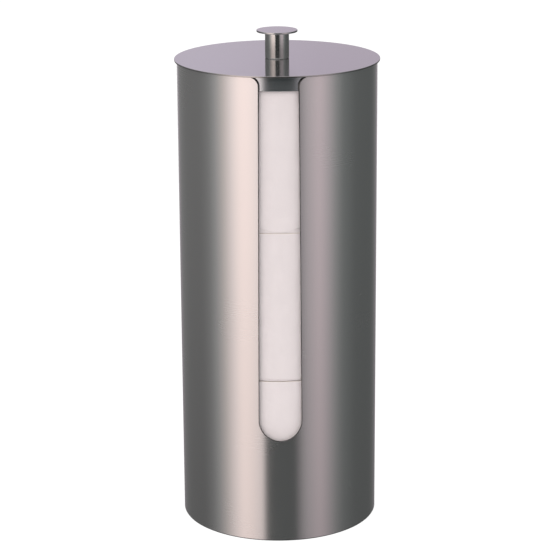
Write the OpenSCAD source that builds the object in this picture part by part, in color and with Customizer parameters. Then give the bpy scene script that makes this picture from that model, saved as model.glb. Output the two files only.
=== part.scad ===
// Toilet roll storage holder: a round stainless steel canister for three rolls,
// with a finger slot down its front and a lift-off lid with a round knob.
// Millimetres. Origin at the centre of the face it stands on, +Z up, slot towards -Y.

/* [Rolls] */
// Outer diameter of a full roll
roll_d = 118; // [100:1:125]
// Width of a roll, which is the height it takes in the stack
roll_w = 99; // [90:0.1:115]
// Rounding of a roll's soft paper edges
roll_edge_r = 1; // [0.5:0.1:5]
// Bore of the cardboard core
core_bore_d = 41; // [36:0.5:46]
// Wall of the cardboard core
core_wall = 0.8; // [0.5:0.1:1.5]

/* [Shell] */
// Sheet thickness of the rolled shell
shell_wall = 0.8; // [0.6:0.1:1.2]
// Radial space between the rolls and the inside of the shell, if they stood in its middle
roll_side_gap = 5.45; // [4:0.05:10]
// Space that is left in front of the rolls, which stand close behind the slot
roll_front_gap = 2.95; // [2.5:0.05:4]
// Free height between the top roll and the lid
head_room = 1.4; // [0.9:0.1:8]

/* [Finger slot] */
// Width of the slot just below its top corners
slot_top_w = 25.8; // [20:0.1:34]
// Width of the slot at its round lower end
slot_low_w = 28.2; // [20:0.1:34]
// Height of the slot's lowest point above the standing face
slot_low_z = 69.8; // [40:0.1:120]
// Radius that opens the slot's top corners into the rim
slot_corner_r = 6; // [2:0.5:10]

/* [Base pan] */
// Height of the floor that the rolls stand on
floor_z = 10.5; // [7:0.1:16]
// Sheet thickness of the pressed base pan
pan_wall = 0.8; // [0.6:0.1:1.2]
// Outer bend radius between the floor and its skirt
pan_bend_r = 2; // [1.5:0.1:4]

/* [Foot ring] */
// Thickness of the lip that the steel stands on
foot_lip_t = 0.6; // [0.5:0.1:2]
// How far the lip stays inside the shell's outer face
foot_lip_inset = 0.3; // [0.1:0.1:0.7]
// Height of the ring's wall inside the pan's skirt
foot_wall_h = 4.5; // [3:0.1:5]
// Thickness of the ring's wall
foot_wall = 1.6; // [1:0.1:3]

/* [Lid] */
// How far the lid stands out past the shell all round
lid_overhang = 1.6; // [0.5:0.1:5]
// Sheet thickness of the lid
lid_t = 1; // [0.9:0.1:2]
// Rounding of the lid's deburred edge
lid_edge_r = 0.35; // [0.1:0.05:0.45]
// Depth of the collar below the lid
collar_h = 9; // [6:0.5:20]
// Sheet thickness of the collar
collar_wall = 0.6; // [0.6:0.1:1]

/* [Knob] */
// Diameter of the knob's stem
stem_d = 15.7; // [12:0.1:22]
// Height of the stem between the lid and the knob's cap
stem_h = 17; // [10:0.1:30]
// Rounding of the stem's edge where it stands on the lid
stem_foot_r = 0.7; // [0.2:0.1:1]
// Diameter of the knob's cap
cap_d = 26.7; // [24:0.1:40]
// Thickness of the knob's cap
cap_t = 1.2; // [0.8:0.1:3]
// Rounding of the cap's deburred edge
cap_edge_r = 0.3; // [0.1:0.05:0.35]
// Diameter of the cap's spigot, pressed into the stem
spigot_d = 6; // [4:0.1:8]
// Length of the cap's spigot
spigot_l = 4; // [2:0.1:5]

/* [Knob screw] */
// Diameter of the screw's shank
screw_d = 5; // [3:0.5:6]
// Length of the shank under the head
screw_l = 10; // [6:0.5:12]
// Diameter of the screw's round head
screw_head_d = 9.5; // [9:0.1:12]
// Height of the screw's round head
screw_head_h = 2.75; // [2:0.05:4]
// Width across the flats of the screw's hexagon socket
socket_af = 3; // [2:0.5:4]
// Depth of the hexagon socket
socket_depth = 1.6; // [1:0.1:1.8]
// Outer diameter of the washer under the head
washer_d = 12; // [10:0.1:16]
// Thickness of the washer
washer_t = 1; // [0.5:0.1:1.6]

/* [Clearances] */
// Space above and below each roll in the stack
roll_stack_gap = 0.3; // [0.2:0.05:1]
// Radial space between the lid's collar and the inside of the shell
collar_gap = 0.7; // [0.3:0.05:1]
// Radial space round the screw's shank in the lid and washer
screw_gap = 0.2; // [0.1:0.05:0.5]
// Free depth of the stem's threaded hole past the end of the screw
screw_end_gap = 1; // [0.5:0.1:1.5]
// Free depth of the stem's bore past the end of the spigot
spigot_end_gap = 0.3; // [0.1:0.1:0.6]

/* [Hidden] */
$fn = 96;
cut = 1;

roll_r = roll_d / 2;
core_bore_r = core_bore_d / 2;
core_r = core_bore_r + core_wall;
roll_pitch = roll_w + roll_stack_gap;
roll_forward = roll_side_gap - roll_front_gap;
shell_in_r = roll_r + roll_side_gap;
shell_r = shell_in_r + shell_wall;
shell_low_z = foot_lip_t;
rim_z = floor_z + roll_stack_gap + 2 * roll_pitch + roll_w + head_room;
slot_low_r = slot_low_w / 2;
slot_low_centre_z = slot_low_z + slot_low_r;
slot_corner_z = rim_z - slot_corner_r;
skirt_in_r = shell_in_r - pan_wall;
lid_top_z = rim_z + lid_t;
cap_z = lid_top_z + stem_h;
washer_z = rim_z - washer_t;
screw_hole_depth = screw_l - washer_t - lid_t + screw_end_gap;

steel = [0.74, 0.73, 0.72];
dark_steel = [0.55, 0.55, 0.56];
black = [0.09, 0.09, 0.09];
tissue = [0.93, 0.92, 0.91];
card = [0.62, 0.52, 0.42];

// Plain tube standing on z = low
module tube(outer_r, inner_r, low, high) {
    translate([0, 0, low])
        difference() {
            cylinder(h = high - low, r = outer_r);
            translate([0, 0, -cut])
                cylinder(h = high - low + 2 * cut, r = inner_r);
        }
}

// Half section of a flat disc with both edges rounded, its underside on y = 0
module disc_section(r, thickness, edge_r) {
    square([r - edge_r, thickness]);
    translate([0, edge_r])
        square([r, thickness - 2 * edge_r]);
    for (y = [edge_r, thickness - edge_r])
        translate([r - edge_r, y])
            circle(r = edge_r, $fn = 32);
}

// Outline of the finger slot seen from the front: a round lower end, sides that
// draw in a little towards the top, and corners that open outwards into the rim
module slot_outline() {
    translate([0, slot_low_centre_z])
        circle(r = slot_low_r);
    polygon([[-slot_low_r, slot_low_centre_z], [slot_low_r, slot_low_centre_z],
             [slot_top_w / 2, slot_corner_z], [-slot_top_w / 2, slot_corner_z]]);
    difference() {
        translate([-slot_top_w / 2 - slot_corner_r, slot_corner_z])
            square([slot_top_w + 2 * slot_corner_r, slot_corner_r + cut]);
        for (side = [-1, 1])
            translate([side * (slot_top_w / 2 + slot_corner_r), slot_corner_z])
                circle(r = slot_corner_r);
    }
}

// The slot's outline carried through the front wall only
module slot_cutter() {
    translate([0, -shell_r / 2, 0])
        rotate([90, 0, 0])
            linear_extrude(height = shell_r / 2 + cut)
                slot_outline();
}

// Rolled sheet tube with the finger slot through its front wall
module shell() {
    color(steel)
        difference() {
            tube(shell_r, shell_in_r, shell_low_z, rim_z);
            slot_cutter();
        }
}

// Pressed pan welded inside the foot of the shell: a floor that carries the rolls, a
// quarter bend and a skirt down the outside, all of one sheet thickness
module base_pan() {
    bend_centre_r = shell_in_r - pan_bend_r;
    bend_centre_z = floor_z - pan_bend_r;
    color(dark_steel)
        rotate_extrude() {
            translate([skirt_in_r, shell_low_z])
                square([pan_wall, bend_centre_z - shell_low_z]);
            translate([0, floor_z - pan_wall])
                square([bend_centre_r, pan_wall]);
            translate([bend_centre_r, bend_centre_z])
                intersection() {
                    difference() {
                        circle(r = pan_bend_r);
                        circle(r = pan_bend_r - pan_wall);
                    }
                    square(pan_bend_r);
                }
        }
}

// Soft ring pushed into the pan's skirt, its lip lies under both sheet edges
module foot_ring() {
    color(black)
        rotate_extrude() {
            translate([skirt_in_r - foot_wall, 0])
                square([foot_wall, foot_wall_h]);
            translate([skirt_in_r - foot_wall, 0])
                square([shell_r - foot_lip_inset - skirt_in_r + foot_wall, foot_lip_t]);
        }
}

// Flat lid resting on the shell's rim, with a hole for the knob's screw
module lid_disc() {
    color(steel)
        translate([0, 0, rim_z])
            difference() {
                rotate_extrude()
                    disc_section(shell_r + lid_overhang, lid_t, lid_edge_r);
                translate([0, 0, -cut])
                    cylinder(h = lid_t + 2 * cut, r = screw_d / 2 + screw_gap);
            }
}

// Rolled ring, welded by its edge under the lid, that centres it in the shell
module lid_collar() {
    collar_r = shell_in_r - collar_gap;
    color(dark_steel)
        tube(collar_r, collar_r - collar_wall, rim_z - collar_h, rim_z);
}

// Turned stem, threaded from below and bored on top for the cap's spigot
module knob_stem() {
    color(steel)
        translate([0, 0, lid_top_z])
            difference() {
                rotate_extrude() {
                    square([stem_d / 2 - stem_foot_r, stem_h]);
                    translate([0, stem_foot_r])
                        square([stem_d / 2, stem_h - stem_foot_r]);
                    translate([stem_d / 2 - stem_foot_r, stem_foot_r])
                        circle(r = stem_foot_r, $fn = 32);
                }
                translate([0, 0, -cut])
                    cylinder(h = screw_hole_depth + cut, r = screw_d / 2);
                translate([0, 0, stem_h - spigot_l - spigot_end_gap])
                    cylinder(h = spigot_l + spigot_end_gap + cut, r = spigot_d / 2);
            }
}

// Thin wider disc that gives the fingers their grip, with its spigot below
module knob_cap() {
    color(steel) {
        translate([0, 0, cap_z])
            rotate_extrude()
                disc_section(cap_d / 2, cap_t, cap_edge_r);
        translate([0, 0, cap_z - spigot_l])
            cylinder(h = spigot_l + cap_t / 2, r = spigot_d / 2);
    }
}

// Button head screw from inside the lid up into the stem
module knob_screw() {
    head_r = screw_head_d / 2;
    dome_r = (head_r * head_r + screw_head_h * screw_head_h) / (2 * screw_head_h);
    color(dark_steel)
        difference() {
            union() {
                translate([0, 0, washer_z - screw_head_h])
                    rotate_extrude()
                        intersection() {
                            translate([0, dome_r])
                                circle(r = dome_r);
                            square([head_r, screw_head_h]);
                        }
                translate([0, 0, washer_z - screw_head_h / 2])
                    cylinder(h = screw_l + screw_head_h / 2, r = screw_d / 2);
            }
            translate([0, 0, washer_z - screw_head_h - cut])
                cylinder(h = socket_depth + cut, r = socket_af / sqrt(3), $fn = 6);
        }
}

// Flat washer between the screw's head and the lid
module knob_washer() {
    color(dark_steel)
        tube(washer_d / 2, screw_d / 2 + screw_gap, washer_z, rim_z);
}

// Middle of the underside of a roll, counted from 0 at the bottom of the stack
function roll_place(place) = [0, -roll_forward, floor_z + roll_stack_gap + place * roll_pitch];

// Wound paper of one roll, both outer edges softly rounded
module roll_paper(place) {
    color(tissue)
        translate(roll_place(place))
            difference() {
                rotate_extrude()
                    disc_section(roll_r, roll_w, roll_edge_r);
                translate([0, 0, -cut])
                    cylinder(h = roll_w + 2 * cut, r = core_r);
            }
}

// Cardboard core of one roll
module roll_core(place) {
    color(card)
        translate(roll_place(place))
            tube(core_r, core_bore_r, 0, roll_w);
}

module roll_top_paper() { roll_paper(2); }
module roll_top_core() { roll_core(2); }
module roll_middle_paper() { roll_paper(1); }
module roll_middle_core() { roll_core(1); }
module roll_bottom_paper() { roll_paper(0); }
module roll_bottom_core() { roll_core(0); }

shell();
base_pan();
foot_ring();
lid_disc();
lid_collar();
knob_stem();
knob_cap();
knob_screw();
knob_washer();
roll_top_paper();
roll_top_core();
roll_middle_paper();
roll_middle_core();
roll_bottom_paper();
roll_bottom_core();
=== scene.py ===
import bmesh
import bpy
import numpy as np
from mathutils import Matrix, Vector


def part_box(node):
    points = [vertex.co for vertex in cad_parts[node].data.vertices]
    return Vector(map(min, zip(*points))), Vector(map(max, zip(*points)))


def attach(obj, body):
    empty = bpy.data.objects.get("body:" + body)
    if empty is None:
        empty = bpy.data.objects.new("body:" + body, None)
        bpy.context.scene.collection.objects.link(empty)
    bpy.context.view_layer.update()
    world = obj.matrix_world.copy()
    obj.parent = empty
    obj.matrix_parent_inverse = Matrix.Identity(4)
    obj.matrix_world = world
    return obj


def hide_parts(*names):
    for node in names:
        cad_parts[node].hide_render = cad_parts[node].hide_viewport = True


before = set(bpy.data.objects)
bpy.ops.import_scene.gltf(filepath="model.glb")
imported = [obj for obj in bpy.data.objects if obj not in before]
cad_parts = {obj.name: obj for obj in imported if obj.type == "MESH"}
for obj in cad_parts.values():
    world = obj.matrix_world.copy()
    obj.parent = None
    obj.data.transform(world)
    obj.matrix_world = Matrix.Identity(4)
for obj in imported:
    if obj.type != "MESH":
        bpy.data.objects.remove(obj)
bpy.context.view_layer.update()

# Camera
# A long lens stands 1.36 m in front of the holder and 0.56 m up, looks down at 16 degrees,
# leans a third of a degree, and is under a degree round to the left of the slot.
camera_data = bpy.data.cameras.new("camera")
camera_data.sensor_width = 36
camera_data.lens = 136.85
camera_distance = 1.3566
camera_height = 0.5554
camera_tilt = np.radians(16.18)
camera_lean = np.radians(-0.327)
camera_round = np.radians(-0.80)
camera_turn = np.radians(0.010)
camera = bpy.data.objects.new("camera", camera_data)
bpy.context.scene.collection.objects.link(camera)
camera.matrix_world = (
    Matrix.Rotation(camera_round, 4, "Z")
    @ Matrix.Translation((0, -camera_distance, camera_height))
    @ Matrix.Rotation(camera_turn, 4, "Z")
    @ Matrix.Rotation(np.pi / 2 - camera_tilt, 4, "X")
    @ Matrix.Rotation(camera_lean, 4, "Z")
)
bpy.context.scene.camera = camera
bpy.context.scene.view_settings.view_transform = "Standard"


# Studio
# A light tent round the holder: a large warm softbox at the front left, a weaker one at the
# front right, a dark gap between them where the photographer stands, grey sides and a pale
# backdrop. The world gives this light by compass direction, and the camera sees plain white.
class Nodes:
    """A node tree that is filled by short calls. add() makes a node and sets or links its
    inputs, by name with _ for a space, or by number as n0, n1 and so on."""

    def __init__(self, tree):
        self.tree = tree
        tree.nodes.clear()

    def add(self, kind, settings=None, **inputs):
        node = self.tree.nodes.new("ShaderNode" + kind)
        for key, value in (settings or {}).items():
            setattr(node, key, value)
        for key, value in inputs.items():
            socket = node.inputs[int(key[1:]) if key.startswith("n") else key.replace("_", " ")]
            if isinstance(value, bpy.types.NodeSocket):
                self.tree.links.new(value, socket)
            else:
                socket.default_value = value
        return node

    def math(self, operation, a, b=0.0):
        return self.add("Math", {"operation": operation}, n0=a, n1=b).outputs[0]

    def ramp(self, factor, stops, interpolation="LINEAR"):
        """Colour ramp of (position, colour) stops."""
        node = self.add("ValToRGB", n0=factor)
        ramp = node.color_ramp
        ramp.interpolation = interpolation
        while len(ramp.elements) < len(stops):
            ramp.elements.new(0.5)
        for element, (position, colour) in zip(ramp.elements, stops):
            element.position = position
            element.color = (*colour, 1)
        return node.outputs["Color"]


def grey(level, tint=(1, 1, 1)):
    return tuple(level * part for part in tint)


# Panels at the holder's own height, by compass direction as the camera sees it: 0 degrees is
# towards the camera and + is to its right. Light falls off from each panel's middle.
warm = (1.0, 0.84, 0.80)
rosy = (1.0, 0.84, 0.88)
rosy_grey = (1.0, 0.90, 0.935)
peach = (1.0, 0.88, 0.86)
mauve = (1.0, 0.9, 0.99)
off_white = (1.0, 0.97, 0.97)
neutral = (1.0, 1.0, 1.0)
cool = (0.93, 1.0, 0.99)
brightest = 2.4
panels = [
    (-180, grey(0.75, mauve)),
    (-163, grey(0.40, mauve)),
    (-152, grey(0.25, neutral)),
    (-130, grey(0.21, neutral)),
    (-100, grey(0.22, neutral)),
    (-86, grey(0.30, neutral)),
    (-76, grey(0.50, neutral)),
    (-65, grey(0.90, (1.0, 0.90, 0.86))),
    (-55, grey(1.40, peach)),
    (-45, grey(1.83, warm)),
    (-34, grey(1.88, warm)),
    (-19.5, grey(1.70, peach)),
    (-16.5, grey(0.12, neutral)),
    (-14, grey(0.05, cool)),
    (18, grey(0.05, cool)),
    (25, grey(0.49, rosy_grey)),
    (32, grey(0.76, rosy_grey)),
    (48, grey(1.05, rosy)),
    (60, grey(0.72, rosy_grey)),
    (69, grey(0.43, neutral)),
    (80, grey(0.24, cool)),
    (100, grey(0.15, cool)),
    (138, grey(0.13, cool)),
    (152, grey(0.21, neutral)),
    (163, grey(0.40, mauve)),
    (180, grey(0.75, mauve)),
]
# What the table under it gives back, mostly from the softbox
table = [
    (-180, grey(0.10, neutral)),
    (-100, grey(0.04, neutral)),
    (-75, grey(0.12, neutral)),
    (-45, grey(0.60, warm)),
    (-30, grey(0.25, warm)),
    (-14, grey(0.12, cool)),
    (14, grey(0.12, cool)),
    (60, grey(0.02, neutral)),
    (85, grey(0.07, neutral)),
    (180, grey(0.10, neutral)),
]
# The panels' upper edges, where their light falls off
panel_tops = [
    (-180, grey(0.40, mauve)),
    (-150, grey(0.24, neutral)),
    (-76, grey(0.30, neutral)),
    (-60, grey(0.48, warm)),
    (-45, grey(0.70, warm)),
    (-34, grey(0.72, warm)),
    (-19.5, grey(0.66, warm)),
    (-16.5, grey(0.05, cool)),
    (-14, grey(0.02, cool)),
    (18, grey(0.02, cool)),
    (25, grey(0.20, rosy_grey)),
    (48, grey(0.31, rosy_grey)),
    (66, grey(0.27, neutral)),
    (90, grey(0.24, neutral)),
    (150, grey(0.22, neutral)),
    (180, grey(0.40, mauve)),
]
# The tent's roof, lit through its front left side
roof = [
    (-180, grey(0.8, mauve)),
    (-100, grey(1.4, neutral)),
    (-60, grey(2.4, off_white)),
    (-20, grey(2.4, off_white)),
    (20, grey(1.8, off_white)),
    (100, grey(0.8, neutral)),
    (180, grey(0.8, mauve)),
]
# The pale backdrop behind the holder, seen in the lid. Its tint changes at the middle, and it
# ends softly at both sides and overhead. These are parts of the unit direction.
backdrop_left = (0.71, 0.645, 0.76)
backdrop_right = (0.61, 0.54, 0.64)
tint_change_x = (-0.03, 0.045)
backdrop_side_x = (0.14, 0.34)
backdrop_front_y = (0.0, 0.2)
# Heights above the horizon, in degrees, over which each layer passes into the next
table_to_panels = (-38, -8)
panels_to_tops = (2, 13)
tops_to_roof = (25, 40)
world = bpy.data.worlds.new("studio")
world.use_nodes = True
bpy.context.scene.world = world
sky = Nodes(world.node_tree)
direction = sky.add("SeparateXYZ", n0=sky.add("TexCoord").outputs["Generated"]).outputs
compass = sky.math("ARCTAN2", direction["X"], sky.math("MULTIPLY", direction["Y"], -1.0))
round_once = sky.math("ADD", sky.math("MULTIPLY", compass, 1 / (2 * np.pi)), 0.5)


def share_of_brightest(colour):
    return tuple(part / brightest for part in colour)


def by_compass(stops):
    """Colour for a compass direction, as a share of the brightest."""
    return sky.ramp(
        round_once, [(degrees / 360 + 0.5, share_of_brightest(colour)) for degrees, colour in stops]
    )


def soft_step(value, low, high):
    """From 0 to 1 as value goes from low to high, without corners."""
    return sky.add(
        "MapRange", {"interpolation_type": "SMOOTHSTEP"}, Value=value, From_Min=low, From_Max=high
    ).outputs[0]


def rising(low_degrees, high_degrees):
    """Soft step of the height above the horizon between two angles."""
    low, high = np.sin(np.radians([low_degrees, high_degrees]))
    return soft_step(direction["Z"], low, high)


def mixed(share, first, second):
    return sky.add("MixRGB", Fac=share, Color1=first, Color2=second).outputs[0]


backdrop = mixed(
    soft_step(direction["X"], *tint_change_x),
    (*share_of_brightest(backdrop_left), 1), (*share_of_brightest(backdrop_right), 1),
)
aside = soft_step(sky.math("ABSOLUTE", direction["X"]), *backdrop_side_x)
behind = sky.math(
    "MULTIPLY", soft_step(direction["Y"], *backdrop_front_y), sky.math("SUBTRACT", 1.0, aside)
)
walls = mixed(rising(*table_to_panels), by_compass(table), by_compass(panels))
tops = mixed(rising(*tops_to_roof), by_compass(panel_tops), by_compass(roof))
tent = mixed(rising(*panels_to_tops), walls, mixed(behind, tops, backdrop))
light = sky.add("Background", Color=tent, Strength=brightest)
white = sky.add("Background", Color=(1, 1, 1, 1), Strength=1.0)
# The white background is seen straight, and in the metal where a ray grazes it and goes on
# low behind the holder
path = sky.add("LightPath").outputs
straight_behind_y = (0.94, 0.97)
low_behind = sky.math(
    "MULTIPLY", soft_step(direction["Y"], *straight_behind_y), sky.math("SUBTRACT", 1.0, rising(-2, 2))
)
by_way_of_a_piece = sky.math("ADD", path["Is Glossy Ray"], path["Is Transmission Ray"])
seen = sky.math("MAXIMUM", path["Is Camera Ray"], sky.math("MULTIPLY", by_way_of_a_piece, low_behind))
sky.add(
    "OutputWorld",
    Surface=sky.add("MixShader", n0=seen, n1=light.outputs[0], n2=white.outputs[0]).outputs[0],
)

# Floor
# A pale sheet that takes the holder's soft shadow. Straight to the camera it also glows a
# little, so that where it is fully lit it meets the white backdrop without an edge.
floor_half = 6.0
floor_white = (0.75, 0.75, 0.75, 1)
shadow_white = (0.14, 0.14, 0.14, 1)
glow_level = 0.93
floor_mesh = bpy.data.meshes.new("floor")
floor_mesh.from_pydata(
    [(-floor_half, -floor_half, 0), (floor_half, -floor_half, 0),
     (floor_half, floor_half, 0), (-floor_half, floor_half, 0)],
    [], [(0, 1, 2, 3)],
)
floor = bpy.data.objects.new("floor", floor_mesh)
bpy.context.scene.collection.objects.link(floor)
floor.visible_glossy = False
floor_paint = bpy.data.materials.new("floor_paint")
floor_paint.use_nodes = True
paint = Nodes(floor_paint.node_tree)
matt = paint.add("BsdfDiffuse", Color=floor_white)
faint = paint.add("BsdfDiffuse", Color=shadow_white)
glow = paint.add("Emission", Color=(1, 1, 1, 1), Strength=glow_level)
both = paint.add("AddShader", n0=faint.outputs[0], n1=glow.outputs[0])
straight = paint.add("LightPath").outputs["Is Camera Ray"]
paint.add(
    "OutputMaterial",
    Surface=paint.add("MixShader", n0=straight, n1=matt.outputs[0], n2=both.outputs[0]).outputs[0],
)
floor_mesh.materials.append(floor_paint)


# Shell
# Stainless sheet 0.8 mm thick, rolled to a tube 130.5 mm across and welded up the back. The
# slot is cut before rolling, and its edge and the rim are deburred to a small round. The
# sheet is brushed round the tube.
MM = 0.001


def surface(name, points, uv, material, body, node, loop_u=True, loop_v=True, normals=None):
    """Mesh of a grid of points, shape (m, n, 3), whose faces look out where i turns
    anticlockwise seen from above and j goes up the outside. uv has the shape
    (m + 1, n + 1, 2) and is the flat sheet in metres."""
    m, n = points.shape[:2]
    rows = np.arange(m if loop_u else m - 1)[:, None]
    columns = np.arange(n if loop_v else n - 1)[None, :]
    corner = [(rows + a) % m * n + (columns + b) % n for a, b in ((0, 0), (1, 0), (1, 1), (0, 1))]
    corner_uv = [(rows + a) * (n + 1) + columns + b for a, b in ((0, 0), (1, 0), (1, 1), (0, 1))]
    faces = np.stack(corner, -1).reshape(-1, 4)
    face_uv = np.stack(corner_uv, -1).reshape(-1, 4)
    mesh = bpy.data.meshes.new(name)
    mesh.from_pydata(points.reshape(-1, 3), [], faces.tolist())
    layer = mesh.uv_layers.new(name="flat_sheet")
    layer.data.foreach_set("uv", uv.reshape(-1, 2)[face_uv.reshape(-1)].astype(np.float32).reshape(-1))
    mesh.polygons.foreach_set("use_smooth", np.ones(len(faces), bool))
    if normals is not None:
        mesh.normals_split_custom_set_from_vertices(normals.reshape(-1, 3).tolist())
    mesh.materials.append(material)
    piece = bpy.data.objects.new(name, mesh)
    bpy.context.scene.collection.objects.link(piece)
    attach(piece, body)
    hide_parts(node)
    return piece


def brushed_steel(name, colour, roughness, spread_along, anisotropy, coordinates, grain,
                  lines=0.03, weld_half=0.0):
    """Metal with fine parallel scratches. Reflections spread at right angles to them, along
    spread_along. coordinates is "UV" or "Object", and grain is how often the pattern
    changes per metre along each of its axes. lines is how far the roughness changes with it.
    weld_half is half the width of an upright dressed weld at the back, 0 for none. The weld
    is rougher, darker and a little proud."""
    smudges_per_m = 22
    smudge_roughness = 0.02
    weld_roughness = 0.07
    weld_dark = 0.8
    weld_tint_share = 0.35
    weld_height = 9.0
    groove_depth = 0.01 * MM
    groove_bump = 0.018
    # The scratches' grooves are a touch darker in colour: painted shade.
    groove_painted_shade = 0.996
    material = bpy.data.materials.new(name)
    material.use_nodes = True
    build = Nodes(material.node_tree)
    place = build.add("TexCoord").outputs[coordinates]
    stretched = build.add("Mapping", Vector=place, Scale=grain).outputs[0]
    scratches = build.add("TexNoise", Vector=stretched, Scale=1.0, Detail=3.0, Roughness=0.65).outputs[0]
    smudge_map = build.add("Mapping", Vector=place, Scale=(smudges_per_m,) * 3).outputs[0]
    smudges = build.add("TexNoise", Vector=smudge_map, Scale=1.0, Detail=2.0, Roughness=0.5).outputs[0]
    rough = build.add(
        "MapRange", Value=scratches, From_Min=0.3, From_Max=0.7,
        To_Min=roughness - lines, To_Max=roughness + lines,
    ).outputs[0]
    smudged = build.math("MULTIPLY", build.math("SUBTRACT", smudges, 0.5), smudge_roughness)
    rough = build.math("ADD", rough, smudged)
    shade = build.ramp(scratches, [(0.3, grey(groove_painted_shade, colour)), (0.7, colour)])
    height = scratches
    if weld_half:
        at = build.add("SeparateXYZ", n0=build.add("TexCoord").outputs["Object"]).outputs
        beside = build.add(
            "MapRange", {"interpolation_type": "SMOOTHSTEP"}, Value=build.math("ABSOLUTE", at["X"]),
            From_Min=0.55 * weld_half, From_Max=weld_half, To_Min=1.0, To_Max=0.0,
        ).outputs[0]
        weld = build.math("MULTIPLY", beside, build.math("GREATER_THAN", at["Y"], 0.0))
        rough = build.math("ADD", rough, build.math("MULTIPLY", weld, weld_roughness))
        shade = build.add(
            "MixRGB", Fac=build.math("MULTIPLY", weld, weld_tint_share), Color1=shade,
            Color2=(*grey(weld_dark, colour), 1),
        ).outputs[0]
        height = build.math("ADD", scratches, build.math("MULTIPLY", weld, weld_height))
    bump = build.add("Bump", Strength=groove_bump, Distance=groove_depth, Height=height)
    along = build.add("CombineXYZ", n0=spread_along[0], n1=spread_along[1], n2=spread_along[2])
    metal = build.add(
        "BsdfPrincipled", Base_Color=shade, Metallic=1.0, Roughness=rough, Anisotropic=anisotropy,
        Normal=bump.outputs[0], Tangent=along.outputs[0],
    )
    build.add("OutputMaterial", Surface=metal.outputs[0])
    return material


def cut_edge_painted_shade_steel(name, colour, roughness):
    """Metal of a cut and deburred edge: even in all directions, with a fine mottle. It is
    given a colour darker than the steel beside it: painted shade.
    """
    return brushed_steel(
        name, colour, roughness, spread_along=(0, 0, 1), anisotropy=0.0, coordinates="Object",
        grain=(900, 900, 900),
    )


shell_r = 65.25 * MM
shell_wall = 0.8 * MM
shell_foot_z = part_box("shell")[0].z
rim_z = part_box("shell")[1].z
edge_round = 0.12 * MM
cut_lean = 0.24 * MM
corner_lean = 0.62 * MM
slot_low_r = 14.1 * MM
slot_low_centre_z = 83.9 * MM
slot_half_top = 12.9 * MM
slot_corner_r = 6 * MM
slot_corner_z = rim_z - slot_corner_r
slot_corner_x = slot_half_top + slot_corner_r
shell_steel = brushed_steel(
    "shell_brushed_steel", (0.65, 0.645, 0.64), roughness=0.27, spread_along=(0, 0, 1),
    anisotropy=0.83, coordinates="UV", grain=(14, 4200, 1), lines=0.0015, weld_half=1.1 * MM,
)


def upper_edge():
    """The sheet's upper edge from the middle of the slot's low end, up its right side and
    round the back to the seam. It is an arc, a line, an arc and the level rim. Gives its
    angles and heights, the in-sheet direction that points away from the edge into the metal,
    the angles at the foot that its points fan out to, and how far the cut leans."""
    low = np.linspace(-np.pi / 2, 0, 22)[:-1]
    side = np.linspace(0, 1, 26)[:-1]
    corner = np.linspace(np.pi, np.pi / 2, 14)[:-1]
    rim = np.linspace(0, 1, 72)
    x = np.concatenate([
        slot_low_r * np.cos(low), slot_low_r + (slot_half_top - slot_low_r) * side,
        slot_corner_x + slot_corner_r * np.cos(corner),
    ])
    z = np.concatenate([
        slot_low_centre_z + slot_low_r * np.sin(low),
        slot_low_centre_z + (slot_corner_z - slot_low_centre_z) * side,
        slot_corner_z + slot_corner_r * np.sin(corner), np.full(rim.size, rim_z),
    ])
    first_rim = np.arcsin(slot_corner_x / shell_r)
    angle = np.concatenate([np.arcsin(x / shell_r), first_rim + (np.pi - first_rim) * rim])
    inward = np.stack([
        np.concatenate([np.cos(low), np.ones(side.size), -np.cos(corner), np.zeros(rim.size)]),
        np.concatenate([np.sin(low), np.zeros(side.size), -np.sin(corner), -np.ones(rim.size)]),
    ], -1)
    low_foot, side_foot, corner_foot, rim_foot = 0.17, 0.20, 0.95, 1.12
    corner_spread = 0.15
    fan = np.concatenate([
        low_foot * np.linspace(0, 1, low.size), side_foot + (corner_foot - side_foot) * side,
        corner_foot + corner_spread * np.linspace(0, 1, corner.size),
        rim_foot + (np.pi - rim_foot) * rim,
    ])
    lean = np.concatenate([
        np.full(low.size, cut_lean), cut_lean + (corner_lean - cut_lean) * side ** 16,
        corner_lean * (1 - np.linspace(0, 1, corner.size) ** 3), np.zeros(rim.size),
    ])
    return angle, z, inward, fan, lean


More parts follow.
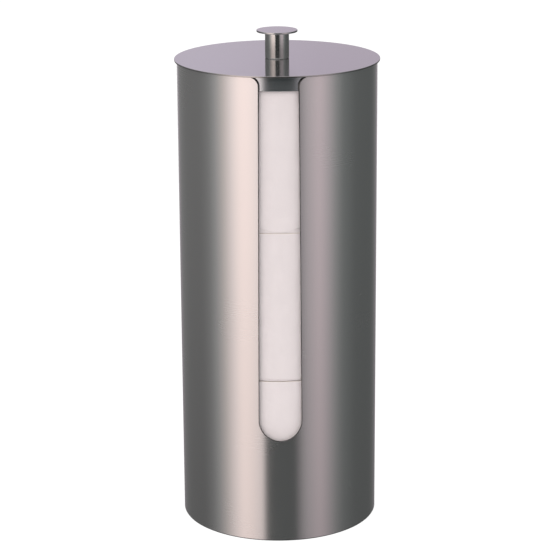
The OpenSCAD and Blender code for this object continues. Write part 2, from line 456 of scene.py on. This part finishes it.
def shell_surface():
    """The sheet as one closed grid. For each place round the upper edge a line fans down the
    outside to the foot, and the section runs up that line, over the cut edge, which leans
    into the slot by lean, down the inside and under the rounded foot. Angle and height along
    the line are a = edge + (foot - edge) * (1 - (1 - w)^2) and z = edge + (foot - edge) * w."""
    angle, z, inward, fan, lean = upper_edge()
    mirror = np.arange(angle.size - 2, 0, -1)
    flip = np.array([-1, 1])
    angle = np.concatenate([angle, -angle[mirror]])
    fan = np.concatenate([fan, -fan[mirror]])
    z = np.concatenate([z, z[mirror]])
    lean = np.concatenate([lean, lean[mirror]])
    inward = np.concatenate([inward, inward[mirror] * flip])
    w = np.concatenate([[0, 0.0008, 0.002], np.linspace(0.006, 0.994, 52), [0.998, 0.9992, 1]])
    start = angle + inward[:, 0] * edge_round / shell_r
    start_z = z + inward[:, 1] * edge_round
    end_z = shell_foot_z + edge_round
    line_angle = start[:, None] + (fan - start)[:, None] * (1 - (1 - w) ** 2)
    line_z = start_z[:, None] + (end_z - start_z)[:, None] * w
    inner_start = start - inward[:, 0] * lean / shell_r
    inner_start_z = np.minimum(start_z - inward[:, 1] * lean, rim_z - edge_round)
    inner_line_angle = inner_start[:, None] + (fan - inner_start)[:, None] * (1 - (1 - w) ** 2)
    inner_line_z = inner_start_z[:, None] + (end_z - inner_start_z)[:, None] * w
    turn = np.linspace(0, np.pi / 2, 6)
    corner_out, corner_in = np.sin(turn), 1 - np.cos(turn)
    outside = np.full((angle.size, w.size), shell_r)
    inside = outside - shell_wall
    facing_out = np.broadcast_to(np.array([1.0, 0.0, 0.0]), (*outside.shape, 3))
    up_angle = start[:, None] - inward[:, 0:1] * edge_round / shell_r * corner_out
    up_z = start_z[:, None] - inward[:, 1:2] * edge_round * corner_out
    up_out = np.broadcast_to(shell_r - edge_round * corner_in, up_z.shape)
    up_normal = np.stack([
        np.broadcast_to(np.cos(turn), up_z.shape),
        -inward[:, 0:1] * np.sin(turn), -inward[:, 1:2] * np.sin(turn),
    ], -1)
    cut_depth = shell_wall - 2 * edge_round
    cut_slope = np.hypot(lean, cut_depth)
    cut_normal = np.stack([
        lean / cut_slope, -inward[:, 0] * cut_depth / cut_slope, -inward[:, 1] * cut_depth / cut_slope,
    ], -1)
    up_normal[:, -1] = cut_normal
    inner_up_angle = up_angle - inward[:, 0:1] * lean[:, None] / shell_r
    inner_up_z = np.minimum(up_z - inward[:, 1:2] * lean[:, None], rim_z)
    turned_in = np.array([-1, 1, 1])
    inner_up_normal = up_normal * turned_in
    inner_up_normal[:, -1] = cut_normal
    down_angle = np.broadcast_to(fan[:, None], up_z.shape)
    down_z = np.broadcast_to(end_z - edge_round * corner_out, up_z.shape)
    down_normal = np.stack([
        np.broadcast_to(np.cos(turn), up_z.shape), np.zeros(up_z.shape),
        np.broadcast_to(-np.sin(turn), up_z.shape),
    ], -1)
    up_in = 2 * shell_r - shell_wall - up_out
    stretches = [
        (line_angle[:, :0:-1], line_z[:, :0:-1], outside[:, :0:-1], facing_out[:, :0:-1]),
        (up_angle, up_z, up_out, up_normal),
        (inner_up_angle[:, ::-1], inner_up_z[:, ::-1], up_in[:, ::-1], inner_up_normal[:, ::-1]),
        (inner_line_angle[:, 1:], inner_line_z[:, 1:], inside[:, 1:], -facing_out[:, 1:]),
        (down_angle[:, 1:], down_z[:, 1:], up_in[:, 1:], down_normal[:, 1:] * turned_in),
        (down_angle[:, :0:-1], down_z[:, :0:-1], up_out[:, :0:-1], down_normal[:, :0:-1]),
    ]
    a, h, r, n = (np.concatenate([stretch[i] for stretch in stretches], 1) for i in range(4))
    points = np.stack([r * np.sin(a), -r * np.cos(a), h], -1)
    normals = np.stack([
        n[..., 0] * np.sin(a) + n[..., 1] * np.cos(a),
        -n[..., 0] * np.cos(a) + n[..., 1] * np.sin(a), n[..., 2],
    ], -1)
    wide = np.concatenate([a, a[:1] + 2 * np.pi])
    left_half = wide[angle.size // 2 + 1:]
    left_half[left_half < 0] += 2 * np.pi
    uv = np.stack([shell_r * wide, np.concatenate([h, h[:1]])], -1)
    uv = np.concatenate([uv, uv[:, :1]], 1)
    first_cut = w.size - 1
    return points, uv, normals, slice(first_cut, first_cut + 2 * turn.size - 1)


shell_points, shell_uv, shell_normals, cut_columns = shell_surface()
shell_sheet = surface(
    "shell_sheet", shell_points, shell_uv, shell_steel, "canister", "shell",
    normals=shell_normals,
)
# The cut edge and its small rounds, up the slot and along the rim, get a near-black steel: painted shade
# of the dark gap behind the edge.
shell_sheet.data.materials.append(cut_edge_painted_shade_steel("shell_cut_edge", (0.09, 0.09, 0.09), 0.3))
edge_painted_shade = np.zeros(shell_points.shape[:2], np.int32)
edge_painted_shade[:, cut_columns] = 1
shell_sheet.data.polygons.foreach_set("material_index", edge_painted_shade.reshape(-1))


# Base pan
# A floor pressed with a skirt all round from 0.8 mm stainless sheet. The skirt is welded
# inside the foot of the shell, and the rolls stand on the floor.
def bent(corners, radii, steps=7):
    """Outline through corners, an (n, 2) array of radius and height, whose corners are
    rounded by radii. Each round is an arc from one tangent point to the other, with a
    point close on both sides of it so that the flats beside it shade flat."""
    corners = np.asarray(corners, float)
    points = []
    for i, (corner, radius) in enumerate(zip(corners, radii)):
        if radius == 0:
            points.append(corner[None])
            continue
        back = corners[i - 1] - corner
        ahead = corners[(i + 1) % len(corners)] - corner
        back, ahead = back / np.hypot(*back), ahead / np.hypot(*ahead)
        half = np.arccos(np.clip(back @ ahead, -1, 1)) / 2
        reach = radius / np.tan(half)
        middle = (back + ahead) / np.hypot(*(back + ahead))
        centre = corner + middle * radius / np.sin(half)
        side = corner + back * reach - centre
        other = corner + ahead * reach - centre
        swing = np.pi - 2 * half
        t = np.linspace(0, 1, steps)[:, None]
        arc = (np.sin((1 - t) * swing) * side + np.sin(t * swing) * other) / np.sin(swing)
        spare = 0.2 * radius
        points += [
            (corner + back * (reach + spare))[None], centre + arc,
            (corner + ahead * (reach + spare))[None],
        ]
    return np.concatenate(points)


def turned(name, profile, material, body, node, sides=160, closed=True, axis_y=0.0):
    """Surface of revolution about an upright axis: (r cos a, axis_y + r sin a, z) for a going
    once round and (r, z) along the profile, which goes up the outside. A closed profile makes
    a ring, and an open one starts and ends on the axis."""
    a = np.linspace(0, 2 * np.pi, sides, endpoint=False)[:, None]
    r, z = profile[:, 0][None], profile[:, 1][None]
    points = np.stack([r * np.cos(a), axis_y + r * np.sin(a), z + 0 * a], -1)
    length = np.concatenate([[0], np.cumsum(np.hypot(*np.diff(profile, axis=0).T))])
    length = np.append(length, length[-1] + np.hypot(*(profile[0] - profile[-1])))
    around = np.linspace(0, 2 * np.pi, sides + 1) * profile[:, 0].max()
    uv = np.stack(np.broadcast_arrays(around[:, None], length[None]), -1)
    piece = surface(name, points, uv, material, body, node, loop_v=closed)
    if not closed:
        merge_on_axis(piece.data)
    return piece


def merge_on_axis(mesh):
    """Joins the coincident vertices where an open profile meets the axis."""
    work = bmesh.new()
    work.from_mesh(mesh)
    bmesh.ops.remove_doubles(work, verts=work.verts, dist=1e-7)
    work.to_mesh(mesh)
    work.free()


pan_wall = 0.8 * MM
pan_bend_r = 2 * MM
pan_r = shell_r - shell_wall
pan_low_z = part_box("base_pan")[0].z
pan_floor_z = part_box("base_pan")[1].z
pan_steel = brushed_steel(
    "pan_milled_steel", (0.58, 0.575, 0.57), roughness=0.34, spread_along=(0, 1, 0),
    anisotropy=0.35, coordinates="Object", grain=(60, 900, 200),
)
pan_profile = bent(
    [(0, pan_floor_z - pan_wall), (pan_r - pan_wall, pan_floor_z - pan_wall),
     (pan_r - pan_wall, pan_low_z), (pan_r, pan_low_z), (pan_r, pan_floor_z), (0, pan_floor_z)],
    [0, pan_bend_r - pan_wall, 0.2 * MM, 0.2 * MM, pan_bend_r, 0],
)
turned("pan_pressing", pan_profile, pan_steel, "canister", "base_pan", closed=False)


# Foot ring
# Black soft plastic, moulded as an L-shaped ring. It is pushed up inside the pan's skirt,
# and its lip lies under both sheet edges, so that steel never touches the floor.
def soft_black(name, colour, roughness):
    """Matt elastomer with a faint moulded grain."""
    grain_per_m = 900
    wear_per_m = 45
    material = bpy.data.materials.new(name)
    material.use_nodes = True
    build = Nodes(material.node_tree)
    place = build.add("TexCoord").outputs["Object"]
    grain = build.add("TexNoise", Vector=place, Scale=grain_per_m, Detail=3.0).outputs[0]
    worn = build.add("TexNoise", Vector=place, Scale=wear_per_m, Detail=2.0).outputs[0]
    bump = build.add("Bump", Strength=0.25, Distance=0.0001, Height=grain)
    rough = build.add("MapRange", Value=worn, To_Min=roughness - 0.1, To_Max=roughness + 0.1)
    rubber = build.add(
        "BsdfPrincipled", Base_Color=build.ramp(worn, [(0.3, colour), (0.7, grey(1.4, colour))]),
        Roughness=rough.outputs[0], Normal=bump.outputs[0],
    )
    build.add("OutputMaterial", Surface=rubber.outputs[0])
    return material


foot_wall = 1.6 * MM
foot_lip_t = 0.6 * MM
foot_lip_r = 64.95 * MM
foot_wall_r = pan_r - pan_wall
foot_top_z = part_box("foot_ring")[1].z
foot_profile = bent(
    [(foot_wall_r - foot_wall, 0), (foot_lip_r, 0), (foot_lip_r, foot_lip_t),
     (foot_wall_r, foot_lip_t), (foot_wall_r, foot_top_z), (foot_wall_r - foot_wall, foot_top_z)],
    [0.3 * MM, 0.25 * MM, 0.15 * MM, 0.1 * MM, 0.3 * MM, 0.3 * MM],
)
turned("foot_moulding", foot_profile, soft_black("foot_elastomer", (0.02, 0.02, 0.021), 0.6),
       "canister", "foot_ring")

# Lid
# A flat disc of 1 mm stainless sheet, polished over a fine straight brushing, with its edge
# deburred. It lies on the rim and stands out 1.6 mm past the shell. A rolled ring is welded
# under it by its edge and drops 9 mm into the shell.
lid_r = 66.85 * MM
lid_low_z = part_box("lid_disc")[0].z
lid_top_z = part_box("lid_disc")[1].z
lid_edge_r = 0.2 * MM
screw_hole_r = 2.7 * MM
lid_steel = brushed_steel(
    "lid_brushed_steel", (0.48, 0.475, 0.48), roughness=0.13, spread_along=(0, 1, 0),
    anisotropy=0.5, coordinates="Object", grain=(14, 4200, 300), lines=0.01,
)


def rim_finish_and_painted_shade(piece, rim_r, edge_r, material):
    """Gives a turned disc's rim, with the rounds of radius edge_r, another material: a rougher
    finish in a darker colour, which is painted shade.
    """
    centres = np.empty(3 * len(piece.data.polygons), np.float32)
    piece.data.polygons.foreach_get("center", centres)
    outside = np.hypot(centres[0::3], centres[1::3]) > rim_r - 0.9 * edge_r
    piece.data.materials.append(material)
    piece.data.polygons.foreach_set("material_index", outside.astype(np.int32))


lid_profile = bent(
    [(screw_hole_r, lid_low_z), (lid_r, lid_low_z), (lid_r, lid_top_z), (screw_hole_r, lid_top_z)],
    [0.15 * MM, lid_edge_r, lid_edge_r, 0.15 * MM],
)
lid_sheet = turned("lid_sheet", lid_profile, lid_steel, "lid", "lid_disc", sides=256)
# The rim is rougher like a cut edge, and its colour, darker than the lid's face, is painted shade.
lid_rim_painted_shade_steel = cut_edge_painted_shade_steel("lid_cut_edge", (0.36, 0.355, 0.35), 0.22)
rim_finish_and_painted_shade(lid_sheet, lid_r, lid_edge_r, lid_rim_painted_shade_steel)

collar_r = 63.75 * MM
collar_wall = 0.6 * MM
collar_low_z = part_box("lid_collar")[0].z
collar_steel = brushed_steel(
    "collar_brushed_steel", (0.58, 0.61, 0.63), roughness=0.27, spread_along=(0, 0, 1),
    anisotropy=0.83, coordinates="UV", grain=(14, 4200, 1), lines=0.006,
)
collar_profile = bent(
    [(collar_r - collar_wall, lid_low_z), (collar_r - collar_wall, collar_low_z),
     (collar_r, collar_low_z), (collar_r, lid_low_z)],
    [0.1 * MM, 0.15 * MM, 0.15 * MM, 0.1 * MM],
)
turned("collar_ring", collar_profile, collar_steel, "lid", "lid_collar", sides=256)

# Knob
# A stem turned from bright bar with a rounded foot edge, and a thin wider cap pressed into
# its top by a spigot. A button head screw with a washer holds it from inside the lid.
stem_r = 7.85 * MM
stem_foot_r = 0.7 * MM
cap_r = 13.35 * MM
cap_edge_r = 0.3 * MM
cap_low_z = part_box("knob_stem")[1].z
cap_top_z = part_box("knob_cap")[1].z
stem_steel = brushed_steel(
    "stem_turned_steel", (0.52, 0.53, 0.52), roughness=0.18, spread_along=(0, 0, 1),
    anisotropy=0.9, coordinates="UV", grain=(30, 5000, 1), lines=0.015,
)
cap_steel = brushed_steel(
    "cap_brushed_steel", (0.5, 0.49, 0.5), roughness=0.13, spread_along=(0, 1, 0),
    anisotropy=0.4, coordinates="Object", grain=(40, 4200, 300), lines=0.01,
)
stem_profile = bent(
    [(0, lid_top_z), (stem_r, lid_top_z), (stem_r, cap_low_z), (0, cap_low_z)],
    [0, stem_foot_r, 0.15 * MM, 0],
)
turned("stem_bar", stem_profile, stem_steel, "lid", "knob_stem", sides=128, closed=False)
cap_profile = bent(
    [(0, cap_low_z), (cap_r, cap_low_z), (cap_r, cap_top_z), (0, cap_top_z)],
    [0, cap_edge_r, cap_edge_r, 0],
)
cap_disc = turned(
    "cap_disc", cap_profile, cap_steel, "lid", "knob_cap", sides=192, closed=False
)
# The cap's rim is rougher like a cut edge, and its darker colour is painted shade.
rim_finish_and_painted_shade(cap_disc, cap_r, cap_edge_r, cut_edge_painted_shade_steel("cap_rim", (0.4, 0.4, 0.4), 0.2))

washer_low_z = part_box("knob_washer")[0].z
washer_r = 6 * MM
screw_steel = brushed_steel(
    "screw_steel", (0.5, 0.5, 0.5), roughness=0.35, spread_along=(0, 1, 0), anisotropy=0.2,
    coordinates="Object", grain=(300, 300, 300), lines=0.04,
)
washer_profile = bent(
    [(screw_hole_r, washer_low_z), (washer_r, washer_low_z),
     (washer_r, lid_low_z), (screw_hole_r, lid_low_z)],
    [0.1 * MM, 0.2 * MM, 0.2 * MM, 0.1 * MM],
)
turned("washer_disc", washer_profile, screw_steel, "lid", "knob_washer", sides=64)
screw_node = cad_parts["knob_screw"]
screw_node.data.materials.clear()
screw_node.data.materials.append(screw_steel)


# Rolls
# Three rolls of embossed white tissue, each wound on a cardboard core and standing on the
# one below. The soft edges are rounded by handling, and the last sheet ends in a low step.
def tissue(name, colour, end_colour):
    """Soft white paper: a quilted dot emboss on the wrapped side, which reads the sheet's own
    flat coordinates, and fine rings of the wound layers on the two ends, about the roll's
    axis. The ends are painted a little creamier, for the light that bounces between the
    layers, and painted darker in the rings between layers, as painted shade."""
    dots_per_m = 210
    fibres_per_m = 1600
    crumples_per_m = (190, 190, 75)
    layer_scale = 620
    paper_depth = 0.3 * MM
    material = bpy.data.materials.new(name)
    material.use_nodes = True
    build = Nodes(material.node_tree)
    flat = build.add("TexCoord")
    dots = build.add(
        "TexVoronoi", {"feature": "SMOOTH_F1"}, Vector=flat.outputs["UV"], Scale=dots_per_m
    ).outputs["Distance"]
    dots_low = build.add("MapRange", Value=dots, From_Min=0.1, From_Max=0.5).outputs[0]
    fibre = build.add(
        "TexNoise", Vector=flat.outputs["Object"], Scale=fibres_per_m, Detail=4.0
    ).outputs[0]
    upright = build.add("Mapping", Vector=flat.outputs["Object"], Scale=crumples_per_m).outputs[0]
    crumple = build.add("TexNoise", Vector=upright, Scale=1.0, Detail=4.0).outputs[0]
    centred = build.add("Mapping", Vector=flat.outputs["Object"], Location=(0, -roll_y, 0)).outputs[0]
    layers = build.add(
        "TexWave", {"wave_type": "RINGS", "rings_direction": "Z"}, Vector=centred, Scale=layer_scale,
        Distortion=1.5, Detail=2.0, Detail_Scale=0.05,
    ).outputs["Fac"]
    facing = build.add("SeparateXYZ", n0=build.add("NewGeometry").outputs["Normal"]).outputs["Z"]
    on_end = build.add(
        "MapRange", Value=build.math("ABSOLUTE", facing), From_Min=0.5, From_Max=0.9
    ).outputs[0]
    side = build.math("ADD", build.math("MULTIPLY", dots_low, 0.5), build.math("MULTIPLY", fibre, 0.25))
    side = build.math("MULTIPLY", side, build.math("SUBTRACT", 1.0, on_end))
    height = build.math("ADD", side, build.math("MULTIPLY", build.math("MULTIPLY", layers, on_end), 0.8))
    height = build.math("ADD", height, crumple)
    bump = build.add("Bump", Strength=0.7, Distance=paper_depth, Height=height)
    # The crumples' hollows are 3% darker in colour: painted shade.
    shade = build.ramp(crumple, [(0.25, grey(0.97, colour)), (0.75, colour)])
    # The ends have a creamier tint, painted light bounced between the layers, and darker rings between
    # the layers, painted shade.
    painted_end_light_and_shade = build.ramp(layers, [(0.1, grey(0.86, end_colour)), (0.6, end_colour)])
    colour_here = build.add("MixRGB", Fac=on_end, Color1=shade, Color2=painted_end_light_and_shade).outputs[0]
    paper = build.add("BsdfPrincipled", Base_Color=colour_here, Roughness=0.85, Normal=bump.outputs[0])
    build.add("OutputMaterial", Surface=paper.outputs[0])
    return material


def cardboard(name, colour):
    """Grey-brown core board with a fine fibre and the spiral joint of its wound strip. The
    joint is where v / strip - u / round is a whole number, so it closes on itself."""
    strip = 45 * MM
    fibres_per_m = 500
    material = bpy.data.materials.new(name)
    material.use_nodes = True
    build = Nodes(material.node_tree)
    coordinates = build.add("TexCoord").outputs
    fibre = build.add(
        "TexNoise", Vector=coordinates["Object"], Scale=fibres_per_m, Detail=5.0, Roughness=0.7
    ).outputs[0]
    flat = build.add("SeparateXYZ", n0=coordinates["UV"]).outputs
    along = build.math("MULTIPLY", flat["Y"], 1 / strip)
    once_round = build.math("MULTIPLY", flat["X"], 1 / (2 * np.pi * core_r))
    joint = build.math("FRACT", build.math("SUBTRACT", along, once_round))
    joint_line = build.add("MapRange", Value=joint, From_Min=0.0, From_Max=0.018).outputs[0]
    height = build.math("ADD", fibre, build.math("MULTIPLY", joint_line, 2.0))
    bump = build.add("Bump", Strength=0.25, Distance=0.0002, Height=height)
    shade = build.ramp(fibre, [(0.3, grey(0.75, colour)), (0.7, grey(1.1, colour))])
    shade = build.add(
        "MixRGB", {"blend_type": "MULTIPLY"}, Fac=1.0, Color1=shade,
        Color2=build.ramp(joint_line, [(0.0, (0.6, 0.6, 0.6)), (1.0, (1, 1, 1))]),
    ).outputs[0]
    board = build.add("BsdfPrincipled", Base_Color=shade, Roughness=0.9, Normal=bump.outputs[0])
    build.add("OutputMaterial", Surface=board.outputs[0])
    return material


def wound_roll(name, low_z, high_z, edge_lift, edge_sag, material, body, node):
    """Paper of one roll. The side is a spiral, r = roll_r - slack - ply * t for t from 0 to 1
    once round from the loose end at the back, with soft low waves. The outermost ply's lower
    edge stands above the roll's end, at z = low + edge_lift + edge_sag * (1 - cos a) / 2 with
    a = 8 * angle from the front, so that the ply under it shows as a faint second line."""
    slack, ply, wave_r, ply_step = 0.06 * MM, 0.12 * MM, 0.03 * MM, 0.4 * MM
    lower_spare, upper_spare = 0.18 * MM, 0.1 * MM
    a = loose_end + np.append(np.linspace(0.002, 2 * np.pi - 0.006, 239), 2 * np.pi - 0.002)[:, None]
    t = (a - loose_end) / (2 * np.pi)
    t[-1] = 0
    all_round = np.zeros_like(a)
    arc = np.linspace(0, np.pi / 2, 6)
    up = np.linspace(0, 1, 46)[1:]
    step_z = low_z + edge_lift + edge_sag * (1 - np.cos(8 * (a + np.pi / 2))) / 2
    step_points = np.array([-0.32, -0.22, 0.22, 0.32]) * MM
    side_low_z = step_z + step_points[-1]
    side_high_z = high_z - roll_edge_r - lower_spare
    z = np.concatenate([
        low_z + all_round, low_z + all_round, low_z + roll_edge_r * (1 - np.cos(arc)) + all_round,
        step_z + step_points, side_low_z + (side_high_z - side_low_z) * up,
        high_z - roll_edge_r - upper_spare + all_round,
        high_z - roll_edge_r * (1 - np.sin(arc)) + all_round, high_z + all_round, high_z + all_round,
    ], 1)
    rise = z / (high_z - low_z)
    wave = np.sin(5 * a + 34 * rise) + np.sin(11 * a - 21 * rise)
    end_inset = roll_edge_r + 0.3 * MM
    inset = np.concatenate([
        [0, end_inset], ply_step + roll_edge_r * (1 - np.sin(arc)), [ply_step, ply_step],
        np.zeros(up.size + 3), roll_edge_r * (1 - np.cos(arc)), [end_inset, 0],
    ])
    r = roll_r - slack - ply * t + wave_r * wave - inset
    r[:, [0, -1]] = core_r
    points = np.stack([r * np.cos(a), roll_y + r * np.sin(a), z], -1)
    uv = np.stack([roll_r * a + 0 * z, z], -1)
    uv = np.concatenate([uv, uv[:1] + np.array([2 * np.pi * roll_r, 0])])
    uv = np.concatenate([uv, uv[:, :1]], 1)
    return surface(name, points, uv, material, body, node)


roll_r = 59.86 * MM
roll_y = -2.5 * MM
roll_edge_r = 0.45 * MM
loose_end = np.radians(52)
core_wall = 0.8 * MM
core_bore_r = 20.5 * MM
core_r = core_bore_r + core_wall
tissue_paper = tissue("tissue_paper", (0.915, 0.865, 0.86), (0.89, 0.82, 0.75))
core_board = cardboard("core_board", (0.43, 0.34, 0.26))
# In mm: the outer ply's lower edge, then how much longer than the frame's box a roll is at its
# foot and at its top. The upper two have settled into each other a little lower.
for place, edge_lift, edge_sag, foot_longer, top_longer in (
    ("bottom", 1.2, 0.6, 0, 0), ("middle", 1.2, 0.5, 0, -0.2), ("top", 0.85, 4.4, 0.45, 0),
):
    body = "roll_" + place
    low_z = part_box(body + "_paper")[0].z - foot_longer * MM
    high_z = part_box(body + "_paper")[1].z + top_longer * MM
    wound_roll(body + "_tissue", low_z, high_z, edge_lift * MM, edge_sag * MM, tissue_paper,
               body, body + "_paper")
    core_profile = bent(
        [(core_bore_r, low_z), (core_r, low_z), (core_r, high_z), (core_bore_r, high_z)],
        [0.15 * MM] * 4,
    )
    turned(body + "_tube", core_profile, core_board, body, body + "_core",
           sides=96, axis_y=roll_y)
